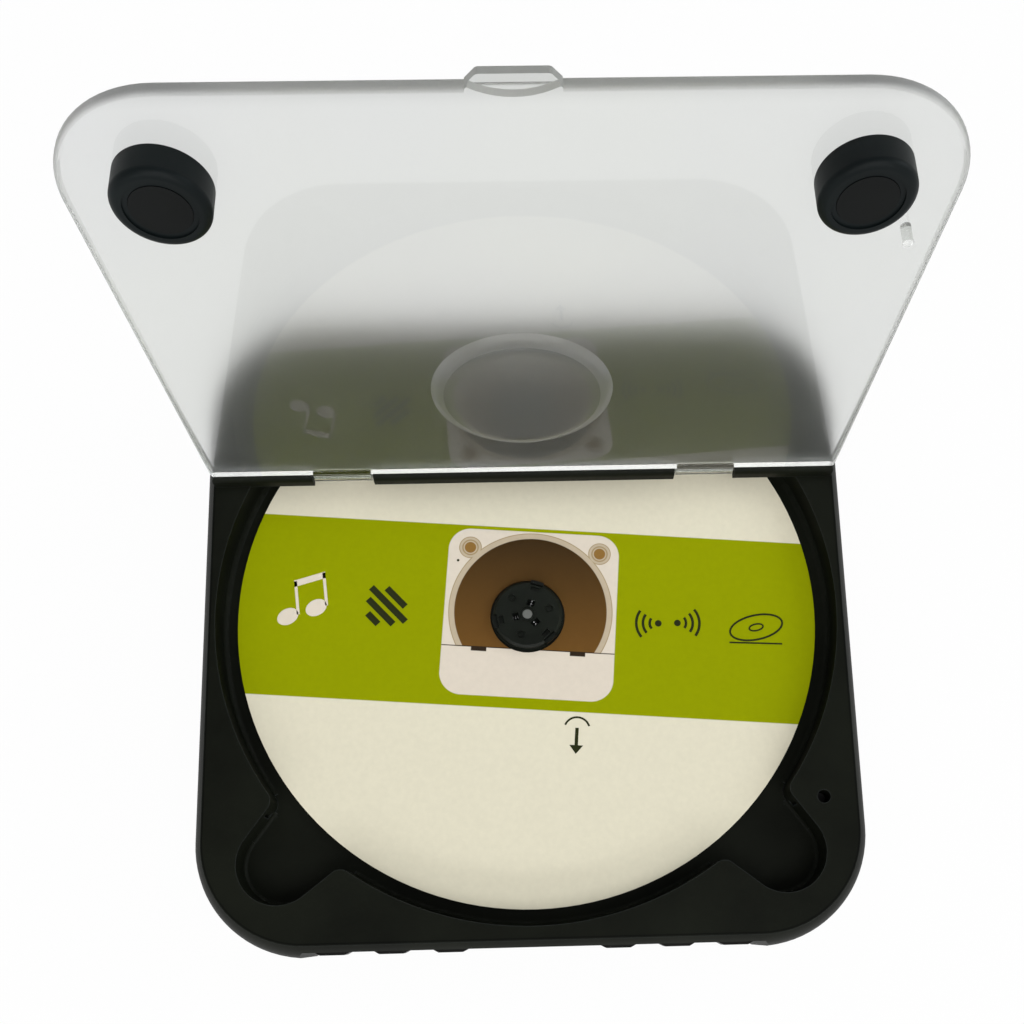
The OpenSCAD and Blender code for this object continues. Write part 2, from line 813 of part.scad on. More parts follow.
// Clear lid, drawn closed: plate, thumb tab, nail scoop, raised pad, hinge tabs and switch pin
module lid() {
  color([0.75, 0.78, 0.78, 0.55]) opened() difference() {
    union() {
      difference() {
        translate([0, 0, lid_in_z]) linear_extrude(lid_t) {
          translate([-lid_half_w, -lid_near + lid_r])
            square([2 * lid_half_w, lid_near - lid_r + lid_hinge_y]);
          translate([-lid_half_w + lid_r, -lid_near])
            square([2 * (lid_half_w - lid_r), lid_near + lid_hinge_y]);
          for (s = [-1, 1]) translate([s * (lid_half_w - lid_r), -lid_near + lid_r]) circle(lid_r);
        }
        mirror([0, 1, 0]) edge_cut(lid_half_w, lid_near, -lid_hinge_y - 1, lid_r, lid_out_z, lid_bevel);
        translate([0, 0, lid_in_z + lid_out_z]) mirror([0, 1, 0]) mirror([0, 0, 1])
          edge_cut(lid_half_w, lid_near, -lid_hinge_y - 1, lid_r, lid_out_z, lid_soft);
      }
      translate([0, 0, lid_in_z]) linear_extrude(lid_t - tab_step) tab_outline();
      // raised pad over the hub
      translate([0, 0, lid_in_z]) mirror([0, 0, 1]) rotate_extrude() {
        translate([0, -eps]) square([pad_flat_r, pad_rise + eps]);
        intersection() {
          translate([pad_flat_r, pad_rise - pad_edge_r]) circle(pad_edge_r);
          translate([pad_flat_r - eps, -eps]) square([pad_r - pad_flat_r + 1, pad_rise + eps]);
        }
      }
      for (s = [-1, 1]) {
        translate([s * hinge_tab_x - hinge_tab_w / 2, lid_hinge_y - eps, hinge_z - knuckle_r])
          cube([hinge_tab_w, lid_edge + eps, 2 * knuckle_r]);
        translate([s * hinge_tab_x - hinge_tab_w / 2, hinge_y, hinge_z]) rotate([0, 90, 0])
          cylinder(h = hinge_tab_w, r = knuckle_r);
      }
      translate([pin_x, pin_y, lid_in_z - switch_pin_l]) {
        cylinder(h = switch_pin_l + 1, r = switch_pin_r);
      }
    }
    translate([0, -lid_near + scoop_sag - scoop_r, lid_in_z - scoop_depth])
      cylinder(h = 2 * scoop_depth, r1 = scoop_r + scoop_slope, r2 = scoop_r - scoop_slope);
    for (s = [-1, 1]) translate([s * hinge_tab_x - hinge_tab_w, hinge_y, hinge_z]) rotate([0, 90, 0])
      cylinder(h = 2 * hinge_tab_w, r = hinge_pin_r + 0.05);
  }
}

module hinge_pins() {
  color([0.7, 0.7, 0.72]) for (s = [-1, 1])
    translate([s * hinge_tab_x - hinge_pin_l / 2 + 0.1, hinge_y, hinge_z]) rotate([0, 90, 0])
      cylinder(h = hinge_pin_l - 0.2, r = hinge_pin_r);
}

// Cup for a magnet, standing on the lid's inner face
module magnet_cup(side) {
  color([0.03, 0.03, 0.03]) opened() translate([side * cup_x, -cup_y, cup_z]) difference() {
    rotate_extrude() {
      square([cup_r - cup_round, cup_h]);
      translate([0, cup_round]) square([cup_r, cup_h - cup_round]);
      translate([cup_r - cup_round, cup_round]) circle(cup_round);
    }
    translate([0, 0, -1]) cylinder(h = 1 + cup_step, r = magnet_r + cup_ring);
    translate([0, 0, -1]) cylinder(h = 1 + cup_step + magnet_t, r = magnet_r + 0.05);
  }
}

module lid_magnets() {
  color([0.15, 0.15, 0.16]) opened() for (s = [-1, 1])
    translate([s * cup_x, -cup_y, cup_z + 0.2]) cylinder(h = magnet_t + cup_step - 0.2, r = magnet_r);
}

module catch_plates() {
  color([0.6, 0.6, 0.62]) for (s = [-1, 1])
    translate([s * cup_x, -cup_y, slab_z - catch_t]) cylinder(h = catch_t, r = catch_r);
}

// Key with a retaining rim inside the wall and a stem towards its switch
module key(i) {
  color([0.1, 0.1, 0.1]) translate([keys_x[i], 0, key_z]) {
    difference() {
      intersection() {
        key_block(key_w, key_h, key_corner, key_face, key_flange_y);
        translate([0, 0, -key_h]) linear_extrude(2 * key_h) polygon([
          [-key_w / 2 - 1, key_flange_y + 1],
          [-key_w / 2 - 1, recess_y],
          [-key_w / 2, recess_y],
          [-key_w / 2 + key_slope, key_face - 0.1],
          [key_w / 2 - key_slope, key_face - 0.1],
          [key_w / 2, recess_y],
          [key_w / 2 + 1, recess_y],
          [key_w / 2 + 1, key_flange_y + 1]
        ]);
      }
      key_block(key_dish_w, key_dish_h, key_dish_h / 2 - eps, key_face - 1, key_face + key_dish);
    }
    key_block(key_w + 2 * key_rib, key_h + 2 * key_rib, key_corner, key_flange_y, key_back);
  }
}

module key_switches() {
  color([0.2, 0.2, 0.2]) for (x = keys_x) translate([x, 0, 0]) {
    translate([-tact_w / 2, tact_front, board_top]) cube([tact_w, tact_back - tact_front, tact_h]);
    translate([0, tact_front + eps, key_z]) rotate([90, 0, 0])
      cylinder(h = tact_front - tact_tip, r = tact_tip_r);
  }
}

module lid_switch() {
  color([0.16, 0.16, 0.17]) translate([pin_x - 3, pin_y - 3, board_top]) cube([6, 6, lid_switch_h]);
}

module lid_plunger() {
  color([0.75, 0.75, 0.72]) translate([pin_x, pin_y, 0]) {
    translate([0, 0, plunger_foot_top - eps])
      cylinder(h = plunger_top - plunger_foot_top + eps, r = plunger_r);
    translate([0, 0, plunger_foot_top - plunger_foot]) cylinder(h = plunger_foot, r = pin_hole_r + 0.9);
  }
}

// Sliding power switch: knob in the right wall, rim inside and fork towards the switch
module power_slider() {
  y0 = slider_y - slider_travel / 2;
  color([0.1, 0.1, 0.1]) {
    difference() {
      translate([in_w - 0.4, y0 - slider_len / 2, slider_z - slider_h / 2])
        cube([wall + 0.4 + slider_out, slider_len, slider_h]);
      for (i = [0 : 3]) translate([out_w + slider_out, y0 + (i - 1.5) * slider_len / 4.4, slider_z])
        rotate([0, 0, 45]) cube([slider_rib, slider_rib, slider_h + 2], center = true);
    }
    translate([in_w - 1.5, slider_y - slider_rim / 2 - slider_travel / 2, slider_z - slider_h / 2 - 1])
      cube([1.2, slider_rim, slider_h + 2]);
    translate([slide_knob_x, y0 - 1.2, slider_z - 0.8]) cube([in_w - 1.4 - slide_knob_x, 2.4, 1.6]);
  }
}

module slide_switch() {
  color([0.55, 0.55, 0.57]) difference() {
    translate([slide_body_x, slider_y - slide_body_l / 2, board_top])
      cube([slide_body_w, slide_body_l, slide_body_h]);
    translate([slide_knob_x - 0.4, slider_y - slider_travel / 2 - 1.6, slider_z - 1.1])
      cube([slide_body_w, slider_travel + 3.2, 2.2]);
  }
}

module main_board() {
  color([0.05, 0.25, 0.12]) difference() {
    translate([0, 0, board_z]) linear_extrude(board_t) {
      translate([-board_half_w, board_near]) square([2 * board_half_w, board_far - board_near]);
      translate([-board_wing_left, board_wing_y]) square([board_wing_left, board_far - board_wing_y]);
      translate([board_half_w - 4, board_wing_y])
        square([board_wing_right - board_half_w + 4, board_wing_far - board_wing_y]);
    }
    for (p = board_posts) translate([p[0], p[1], board_z - 1]) cylinder(h = board_t + 2, r = 1.2);
  }
}

module board_chips() {
  color([0.05, 0.05, 0.06]) {
    translate([-20, -52, board_top]) cube([9, 9, 1.4]);
    translate([6, -50, board_top]) cube([7, 5, 1.2]);
    translate([18, -42, board_top]) cube([5, 4, 1.2]);
    translate([-38, -46, board_top]) cube([4, 3, 1]);
    translate([26, -45, board_top]) cylinder(h = 3.4, r = 2);
    translate([32, -45, board_top]) cylinder(h = 3.4, r = 2);
    translate([-4, -36, board_top]) cube([20, 3.4, 2.2]);
  }
}

module board_screws() {
  color([0.5, 0.5, 0.52]) for (p = board_posts) translate([p[0], p[1], board_z - 0.9])
    screw(board_screw_l, 0.95, 1.9, 0.9, 1);
}

module charge_socket() {
  color([0.65, 0.65, 0.67]) translate([-out_w + 0.4, charge_y, charge_z]) difference() {
    translate([0, -charge_w / 2, 0]) cube([charge_d, charge_w, charge_h]);
    translate([-1, -charge_w / 2 + 0.35, 0.35]) cube([charge_d - 0.5, charge_w - 0.7, charge_h - 0.7]);
  }
  color([0.05, 0.05, 0.05]) translate([-out_w + 1.2, charge_y - 3.3, charge_z + charge_h / 2 - 0.35])
    cube([charge_d - 1.3, 6.6, 0.7]);
}

module phone_socket() {
  color([0.08, 0.08, 0.09]) difference() {
    union() {
      translate([-in_w + 0.6, phone_y - 3.2, board_top]) cube([11, 6.4, 4.4]);
      translate([-out_w + 0.2, phone_y, phone_z]) rotate([0, 90, 0])
        cylinder(h = wall + 1, r = phone_collar_r);
    }
    translate([-out_w - 1, phone_y, phone_z]) rotate([0, 90, 0]) cylinder(h = 13.5, r = phone_bore_r);
  }
}

module battery() {
  color([0.25, 0.25, 0.3]) translate([-battery_w / 2, battery_y, back_in + 0.2])
    cube([battery_w, battery_d, battery_h]);
}

// Small side speaker: frame, surround and dome facing the grille
module speaker(side) {
  color([0.12, 0.12, 0.13]) translate([side * (in_w - 1.4), speaker_y, speaker_z])
    rotate([0, -90 * side, 0]) {
    difference() {
      translate([-speaker_h / 2, -speaker_w / 2, 0]) cube([speaker_h, speaker_w, speaker_d]);
      translate([0, 0, -1]) cylinder(h = 2.2, r = speaker_r);
    }
    translate([0, 0, 1.2 - eps]) rotate_extrude() translate([speaker_r - 1, 0]) circle(0.6);
    translate([0, 0, 1.2 - eps]) cylinder(h = 0.1, r = speaker_r - 1);
    translate([0, 0, 2.4]) intersection() {
      sphere(2.4);
      translate([-3, -3, -2]) cube([6, 6, 1]);
    }
  }
}

module drive_chassis() {
  color([0.2, 0.2, 0.21]) difference() {
    union() {
      translate([0, 0, plate_bot]) linear_extrude(plate_t) {
        translate([-chassis_w, chassis_near])
          square([2 * chassis_w, chassis_far - chassis_near - chassis_cut]);
        translate([-drive_x - grommet_r, chassis_near])
          square([2 * (drive_x + grommet_r), chassis_far - chassis_near]);
        translate([0, sled_motor_y - 9]) square([chassis_wide, 30]);
      }
      // lugs that hold the guide rods
      for (s = [-1, 1], y = [rod_start - 2, rod_end - 1.8])
        translate([s * rod_x - 3, y, rod_z - 2.1]) cube([6, 3.5, plate_bot - rod_z + 2.1 + eps]);
      translate([gear_x, gear_y, gear_z - 0.6]) cylinder(h = plate_bot - gear_z + 0.7, r = 1);
    }
    translate([0, 0, plate_bot - 1]) cylinder(h = plate_t + 2, r = 7);
    translate([-sled_opening, motor_r + 0.8, plate_bot - 1])
      cube([2 * sled_opening, lens_in + sled_travel + 5.6 - motor_r - 0.8, plate_t + 2]);
    for (p = drive_posts) translate([p[0], p[1], plate_bot - 1])
      cylinder(h = plate_t + 2, r = grommet_hole_r);
    for (s = [-1, 1]) translate([s * rod_x, rod_start, rod_z]) rotate([-90, 0, 0])
      cylinder(h = rod_end - rod_start, r = rod_r + 0.02);
  }
}

// Rubber grommets: a groove holds the chassis plate, the bore slips over a post
module grommets() {
  color([0.1, 0.1, 0.1]) for (p = drive_posts) translate([p[0], p[1], 0]) difference() {
    union() {
      translate([0, 0, grommet_low + 0.1]) cylinder(h = plate_bot - grommet_low - 0.1, r = grommet_r);
      translate([0, 0, plate_bot - eps]) cylinder(h = plate_t + 2 * eps, r = grommet_hole_r - 0.05);
      translate([0, 0, plate_top]) cylinder(h = slab_z - plate_top, r = grommet_r - 0.6);
    }
    translate([0, 0, grommet_low - 1]) cylinder(h = 10, r = drive_post_r + 0.05);
  }
}

module chassis_screws() {
  color([0.5, 0.5, 0.52]) for (p = drive_posts) translate([p[0], p[1], grommet_low - 1])
    screw(drive_screw_l, 0.95, grommet_r - 0.5, 1, 1.2);
}

module spindle_motor() {
  color([0.6, 0.6, 0.62]) difference() {
    union() {
      translate([0, 0, motor_bot]) cylinder(h = motor_top - motor_bot, r = motor_r);
      translate([0, 0, motor_bot - 0.6]) cylinder(h = 1, r = 3);
      translate([0, 0, motor_top - eps]) cylinder(h = 0.8, r = 3);
    }
    translate([0, 0, motor_bot - 2]) cylinder(h = 20, r = shaft_r + 0.05);
  }
}

module spindle_shaft() {
  color([0.75, 0.75, 0.77]) translate([0, 0, motor_bot])
    cylinder(h = seat_z + hub_h - 0.15 - motor_bot, r = shaft_r);
}

// Turntable: platter, centring collar and hub with channels for the jaws
module turntable() {
  color([0.05, 0.05, 0.05]) difference() {
    union() {
      translate([0, 0, seat_z - platter_t]) cylinder(h = platter_t, r = platter_r);
      translate([0, 0, motor_top + 1.3]) cylinder(h = seat_z - motor_top - 1.3, r = 5);
      translate([0, 0, seat_z - eps]) cylinder(h = collar_h, r = collar_r);
      translate([0, 0, seat_z]) cylinder(h = hub_h - hub_chamfer, r = hub_r);
      translate([0, 0, seat_z + hub_h - hub_chamfer - eps])
        cylinder(h = hub_chamfer, r1 = hub_r, r2 = hub_r - hub_chamfer);
    }
    translate([0, 0, motor_top]) cylinder(h = 20, r = shaft_r + 0.02);
    translate([0, 0, seat_z + hub_h - 0.2]) difference() {
      cylinder(h = 1, r = 1.6);
      translate([0, 0, -1]) cylinder(h = 3, r = 1.3);
    }
    for (k = [0 : 2]) rotate([0, 0, jaw_angle + 120 * k]) {
      // channel for spring and jaw, then the openings above it
      translate([1.7, -spring_slot, jaw_z]) cube([hub_r, 2 * spring_slot, jaw_h + 0.1]);
      translate([jaw_in - jaw_travel - 0.1, -jaw_half_w - 0.1, jaw_z])
        cube([hub_r, 2 * jaw_half_w + 0.2, jaw_h + 0.1]);
      translate([1.8, -0.85, jaw_z]) cube([1.3, 1.7, hub_h]);
      translate([jaw_in - 0.1, -0.9, jaw_z]) cube([0.9, 1.8, hub_h]);
      translate([jaw_nose - 0.2, -jaw_half_w - 0.1, jaw_z]) cube([2, 2 * jaw_half_w + 0.2, hub_h]);
      rotate([0, 0, 60]) translate([4.6, 0, seat_z + hub_h - 0.5]) difference() {
        cylinder(h = 1, r = 0.85);
        translate([0, 0, -1]) cylinder(h = 1.3, r = 0.35);
      }
    }
  }
}

// Sprung jaw that holds the disc on the hub
module hub_jaw(k) {
  color([0.07, 0.07, 0.07]) rotate([0, 0, jaw_angle + 120 * k]) {
    translate([jaw_in, -jaw_half_w, jaw_z + 0.05])
      cube([hub_r - jaw_in - 0.1, 2 * jaw_half_w, jaw_h - 0.1]);
    intersection() {
      translate([jaw_nose + 0.15, -jaw_half_w, jaw_z + 0.05]) cube([2, 2 * jaw_half_w, jaw_nose_h]);
      translate([0, 0, jaw_z]) cylinder(h = 4, r = collar_r);
    }
  }
}

module jaw_springs() {
  color([0.8, 0.8, 0.82]) for (k = [0 : 2], i = [0 : spring_rings - 1])
    rotate([0, 0, jaw_angle + 120 * k]) translate([spring_from + i * spring_pitch, 0, jaw_z + jaw_h / 2])
      rotate([0, 90, 0]) rotate_extrude($fn = 24) translate([spring_r, 0]) circle(spring_wire, $fn = 12);
}

module guide_rod(side) {
  color([0.78, 0.78, 0.8]) translate([side * rod_x, rod_start + 0.1, rod_z]) rotate([-90, 0, 0])
    cylinder(h = rod_end - rod_start - 0.2, r = rod_r);
}

// Pickup: block between the rods, sleeves on both rods, lens cover and rack
module pickup_body() {
  pitch = PI * rack_module;
  color([0.1, 0.1, 0.11]) difference() {
    union() {
      translate([-19.5, lens_y - 10, 8.4]) cube([39, 15, slab_z - 1 - 8.4]);
      translate([-7.5, lens_y - 7.5, slab_z - 1 - eps]) cube([15, 12.4, 0.8]);
      translate([-rod_x - 3, lens_y - 10, rod_z - 2.6]) cube([2 * rod_x + 6, 13, 5.2]);
      translate([rod_x, lens_y - 10, rack_z]) cube([rack_x - 0.8 - rod_x, 13, rack_t]);
      translate([rack_x - 2.6, lens_y - 34, rack_z]) cube([1.9, 37, rack_t]);
      intersection() {
        translate([rack_x - 2, lens_y - 34, rack_z - 1]) cube([4, 37, rack_t + 2]);
        translate([rack_x, gear_y, rack_z]) linear_extrude(rack_t) for (i = [-19 : 2])
          translate([0, (i + 0.5) * pitch]) polygon([
            [-1.2 * rack_module, -0.42 * pitch], [0.8 * rack_module, -0.1 * pitch],
            [0.8 * rack_module, 0.1 * pitch], [-1.2 * rack_module, 0.42 * pitch]
          ]);
      }
    }
    for (s = [-1, 1]) translate([s * rod_x, lens_y - 11, rod_z]) rotate([-90, 0, 0])
      cylinder(h = 15, r = rod_r + 0.05);
    translate([0, lens_y, slab_z - lens_well]) cylinder(h = 5, r = lens_hold_r + 0.5);
  }
}

module pickup_lens() {
  translate([0, lens_y, 0]) {
    color([0.12, 0.12, 0.13]) difference() {
      translate([0, 0, slab_z - lens_well + 0.8]) cylinder(h = lens_well - 0.4, r = lens_hold_r);
      translate([0, 0, slab_z - lens_well]) cylinder(h = 6, r = lens_r - 0.05);
    }
    color([0.6, 0.7, 0.9, 0.7]) intersection() {
      translate([0, 0, slab_z - lens_well + 1]) cylinder(h = lens_well, r = lens_r);
      translate([0, 0, slab_z + 0.9 - lens_ball]) sphere(lens_ball);
    }
  }
}

module sled_motor() {
  color([0.6, 0.6, 0.62]) translate([sled_motor_x, sled_motor_y, 0]) difference() {
    translate([0, 0, sled_motor_z]) cylinder(h = plate_bot - sled_motor_z, r = sled_motor_r);
    translate([0, 0, sled_motor_z - 1]) cylinder(h = 3, r = 0.5);
  }
}

// Gear outline with straight flanked teeth
module gear_outline(n, m) {
  pr = n * m / 2;
  step = 360 / n;
  polygon([for (i = [0 : n - 1], c = [[-0.34, -1.1], [-0.13, 0.85], [0.13, 0.85], [0.34, -1.1]])
    (pr + c[1] * m) * [cos((i + c[0]) * step), sin((i + c[0]) * step)]]);
}

module motor_pinion() {
  color([0.85, 0.8, 0.6]) translate([sled_motor_x, sled_motor_y, 0]) {
    translate([0, 0, gear_z - 0.2]) linear_extrude(gear_t + 0.4) rotate([0, 0, pinion_phase])
      gear_outline(pinion_teeth, gear_module);
    translate([0, 0, gear_z]) cylinder(h = sled_motor_z + 1 - gear_z, r = 0.45);
  }
}

module sled_gear() {
  color([0.9, 0.9, 0.86]) translate([gear_x, gear_y, 0]) difference() {
    union() {
      translate([0, 0, gear_z]) linear_extrude(gear_t) gear_outline(gear_teeth, gear_module);
      translate([0, 0, gear_z + gear_t - eps]) linear_extrude(rack_z + rack_t + 0.3 - gear_z - gear_t)
        gear_outline(rack_teeth, rack_module);
    }
    translate([0, 0, gear_z - 1]) cylinder(h = 20, r = 1.05);
  }
}

module transport_card() {
  color([0.85, 0.83, 0.75]) translate([0, 0, seat_z + 0.05]) difference() {
    cylinder(h = card_t, r = card_r);
    translate([0, 0, -1]) cylinder(h = card_t + 2, r = card_hole_r);
  }
}

module magnet_cup_left() { magnet_cup(-1); }
module magnet_cup_right() { magnet_cup(1); }
module key_one() { key(0); }
module key_two() { key(1); }
module key_three() { key(2); }
module key_four() { key(3); }
module key_five() { key(4); }
module key_six() { key(5); }
module speaker_left() { speaker(-1); }
module speaker_right() { speaker(1); }
module hub_jaw_a() { hub_jaw(0); }
module hub_jaw_b() { hub_jaw(1); }
module hub_jaw_c() { hub_jaw(2); }
module guide_rod_left() { guide_rod(-1); }
module guide_rod_right() { guide_rod(1); }

main_case();
rear_cover();
rear_pads();
rear_screws();
front_panel();
panel_screws();
lid();
hinge_pins();
magnet_cup_left();
magnet_cup_right();
lid_magnets();
catch_plates();
key_one();
key_two();
key_three();
key_four();
key_five();
key_six();
key_switches();
lid_switch();
lid_plunger();
power_slider();
slide_switch();
main_board();
board_chips();
board_screws();
charge_socket();
phone_socket();
battery();
speaker_left();
speaker_right();
drive_chassis();
grommets();
chassis_screws();
spindle_motor();
spindle_shaft();
turntable();
hub_jaw_a();
hub_jaw_b();
hub_jaw_c();
jaw_springs();
guide_rod_left();
guide_rod_right();
pickup_body();
pickup_lens();
sled_motor();
motor_pinion();
sled_gear();
transport_card();
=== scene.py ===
import json
import math

import bmesh
import bpy
from mathutils import Matrix, Vector


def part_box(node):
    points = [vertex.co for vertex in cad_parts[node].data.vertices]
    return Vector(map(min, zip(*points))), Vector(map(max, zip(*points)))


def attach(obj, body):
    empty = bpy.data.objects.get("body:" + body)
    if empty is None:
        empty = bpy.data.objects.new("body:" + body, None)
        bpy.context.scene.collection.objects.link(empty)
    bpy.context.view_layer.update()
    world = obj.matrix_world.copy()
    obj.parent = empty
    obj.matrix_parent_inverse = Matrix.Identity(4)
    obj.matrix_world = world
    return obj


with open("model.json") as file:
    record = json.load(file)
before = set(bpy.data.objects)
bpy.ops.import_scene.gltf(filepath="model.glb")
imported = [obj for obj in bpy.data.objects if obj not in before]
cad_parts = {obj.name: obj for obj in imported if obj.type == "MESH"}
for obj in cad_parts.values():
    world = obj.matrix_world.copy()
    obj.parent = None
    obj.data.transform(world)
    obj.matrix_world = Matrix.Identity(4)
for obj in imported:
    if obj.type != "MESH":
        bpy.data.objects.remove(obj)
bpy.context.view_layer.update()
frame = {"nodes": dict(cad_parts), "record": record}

MM = 0.001
node = frame["nodes"]

# Camera of the photograph, solved from the card, the deck, the panel and the lid. The frame is square.
EYE = Vector((0.00067, -0.06342, 0.24136))
ELEVATION = math.radians(78.33)
AZIMUTH = math.radians(5.56)
ROLL = math.radians(4.16)
IMAGE_PX = 1024
FOCAL_PX = 1098.65
CENTRE_PX = (554.21, 700.7)
SENSOR_MM = 36.0


def add_camera():
    data = bpy.data.cameras.new("camera")
    cam = bpy.data.objects.new("camera", data)
    bpy.context.scene.collection.objects.link(cam)
    level = math.cos(ELEVATION)
    ahead = Vector((math.sin(AZIMUTH) * level, math.cos(AZIMUTH) * level, -math.sin(ELEVATION)))
    right = ahead.cross(Vector((0, 0, 1))).normalized()
    up = right.cross(ahead)
    rolled_right = right * math.cos(ROLL) + up * math.sin(ROLL)
    rolled_up = -right * math.sin(ROLL) + up * math.cos(ROLL)
    turn = Matrix((rolled_right, rolled_up, -ahead)).transposed().to_4x4()
    cam.matrix_world = Matrix.Translation(EYE) @ turn
    data.sensor_width = SENSOR_MM
    data.lens = FOCAL_PX * SENSOR_MM / IMAGE_PX
    data.shift_x = 0.5 - CENTRE_PX[0] / IMAGE_PX
    data.shift_y = CENTRE_PX[1] / IMAGE_PX - 0.5
    data.clip_start = 0.01
    data.clip_end = 20
    bpy.context.scene.camera = cam


add_camera()


def new_material(name):
    m = bpy.data.materials.new(name)
    m.use_nodes = True
    m.node_tree.nodes.clear()
    return m, m.node_tree.nodes, m.node_tree.links


def find(nodes, kind):
    return next(n for n in nodes if n.type == kind)


def principled(name, base, rough, **sockets):
    """A material with a Principled shader; returns it with its nodes, links and shader."""
    m, nodes, links = new_material(name)
    out = nodes.new("ShaderNodeOutputMaterial")
    shader = nodes.new("ShaderNodeBsdfPrincipled")
    links.new(shader.outputs["BSDF"], out.inputs["Surface"])
    shader.inputs["Base Color"].default_value = (*base, 1)
    shader.inputs["Roughness"].default_value = rough
    for key, value in sockets.items():
        shader.inputs[key.replace("_", " ")].default_value = value
    return m, nodes, links, shader


def coordinates(nodes):
    return nodes.new("ShaderNodeTexCoord").outputs["Object"]


def noise(nodes, links, scale, detail=4.0, roughness=0.5):
    n = nodes.new("ShaderNodeTexNoise")
    n.inputs["Scale"].default_value = scale
    n.inputs["Detail"].default_value = detail
    n.inputs["Roughness"].default_value = roughness
    links.new(coordinates(nodes), n.inputs["Vector"])
    return n.outputs["Fac"]


def ramp(nodes, links, value, stops):
    r = nodes.new("ShaderNodeValToRGB")
    ends = r.color_ramp.elements
    ends[0].position, ends[0].color = stops[0][0], (*stops[0][1], 1)
    ends[1].position, ends[1].color = stops[-1][0], (*stops[-1][1], 1)
    for place, colour in stops[1:-1]:
        ends.new(place).color = (*colour, 1)
    links.new(value, r.inputs["Fac"])
    return r.outputs["Color"]


def spread(nodes, links, value, low, high, cut=0.0):
    """Maps a noise value to a range; cut is the share dropped at each end, which makes it crisper."""
    m = nodes.new("ShaderNodeMapRange")
    m.inputs["From Min"].default_value = cut
    m.inputs["From Max"].default_value = 1 - cut
    m.inputs["To Min"].default_value = low
    m.inputs["To Max"].default_value = high
    links.new(value, m.inputs["Value"])
    return m.outputs["Result"]


def bump(nodes, links, shader, height, depth_mm, strength=1.0):
    b = nodes.new("ShaderNodeBump")
    b.inputs["Distance"].default_value = depth_mm * MM
    b.inputs["Strength"].default_value = strength
    links.new(height, b.inputs["Height"])
    links.new(b.outputs["Normal"], shader.inputs["Normal"])


EDGE_STARTS, EDGE_FULL = 0.985, 0.8


def edge_share(nodes, links, radius_mm):
    """1 along moulded edges, which catch a fine line of light, and 0 on flat faces."""
    edge = nodes.new("ShaderNodeBevel")
    edge.samples = 4
    edge.inputs["Radius"].default_value = radius_mm * MM
    likeness = nodes.new("ShaderNodeVectorMath")
    likeness.operation = "DOT_PRODUCT"
    links.new(edge.outputs["Normal"], likeness.inputs[0])
    links.new(nodes.new("ShaderNodeNewGeometry").outputs["Normal"], likeness.inputs[1])
    share = nodes.new("ShaderNodeMapRange")
    share.inputs["From Min"].default_value = EDGE_STARTS
    share.inputs["From Max"].default_value = EDGE_FULL
    links.new(likeness.outputs["Value"], share.inputs["Value"])
    return share.outputs["Result"]


SMOOTHER, ROUGHER = 0.06, 0.08


def moulded(name, base, rough, grain_mm=0.25, depth_mm=0.02, vary=0.25, gloss=0.2):
    """Moulded plastic: fine spark eroded grain, a slight drift of tone and gloss."""
    m, nodes, links, shader = principled(name, base, rough, Specular_IOR_Level=gloss)
    tone = noise(nodes, links, 60, 3)
    dark = tuple(c * (1 - vary) for c in base)
    light = tuple(c * (1 + vary) for c in base)
    links.new(ramp(nodes, links, tone, [(0.3, dark), (0.7, light)]), shader.inputs["Base Color"])
    grain = noise(nodes, links, 1 / (grain_mm * MM), 2, 0.6)
    links.new(spread(nodes, links, grain, rough - SMOOTHER, rough + ROUGHER), shader.inputs["Roughness"])
    bump(nodes, links, shader, grain, depth_mm)
    return m


SCRATCH_MM = 0.4


def metal(name, base, rough):
    """Metal with a fine drift of gloss and faint scratches."""
    m, nodes, links, shader = principled(name, base, rough, Metallic=1.0)
    grain = noise(nodes, links, 1 / (SCRATCH_MM * MM), 5, 0.65)
    links.new(spread(nodes, links, grain, rough * 0.7, rough * 1.4), shader.inputs["Roughness"])
    bump(nodes, links, shader, grain, 0.01)
    return m


HAZE_GRAIN_MM = 0.3
HAZE_CUT = 0.36
COOLER = (0.985, 0.98, 1.01)
ACRYLIC_IOR = 1.49


def clear(name, tint, rough, haze=(0.0, 0.0), depth_mm=0.0):
    """Clear plastic; haze is the lowest and highest share of light that its grain scatters."""
    m, nodes, links, shader = principled(name, tint, rough, IOR=ACRYLIC_IOR)
    grain = noise(nodes, links, 1 / (HAZE_GRAIN_MM * MM), 2, 0.6)
    low, high = (1 - h for h in haze)
    links.new(spread(nodes, links, grain, low, high, HAZE_CUT), shader.inputs["Transmission Weight"])
    if depth_mm:
        bump(nodes, links, shader, grain, depth_mm, 0.5)
    drift = noise(nodes, links, 14, 2)
    cool = tuple(c * k for c, k in zip(tint, COOLER))
    links.new(ramp(nodes, links, drift, [(0.35, tint), (0.65, cool)]), shader.inputs["Base Color"])
    pass_light(nodes, links, shader, tint)
    return m


def pass_light(nodes, links, shader, tint):
    """Lets lamp light through a clear piece instead of casting a solid shadow."""
    out = find(nodes, "OUTPUT_MATERIAL")
    through = nodes.new("ShaderNodeBsdfTransparent")
    through.inputs["Color"].default_value = (*tint, 1)
    path = nodes.new("ShaderNodeLightPath")
    mix = nodes.new("ShaderNodeMixShader")
    links.new(path.outputs["Is Shadow Ray"], mix.inputs["Fac"])
    links.new(shader.outputs["BSDF"], mix.inputs[1])
    links.new(through.outputs["BSDF"], mix.inputs[2])
    links.new(mix.outputs["Shader"], out.inputs["Surface"])


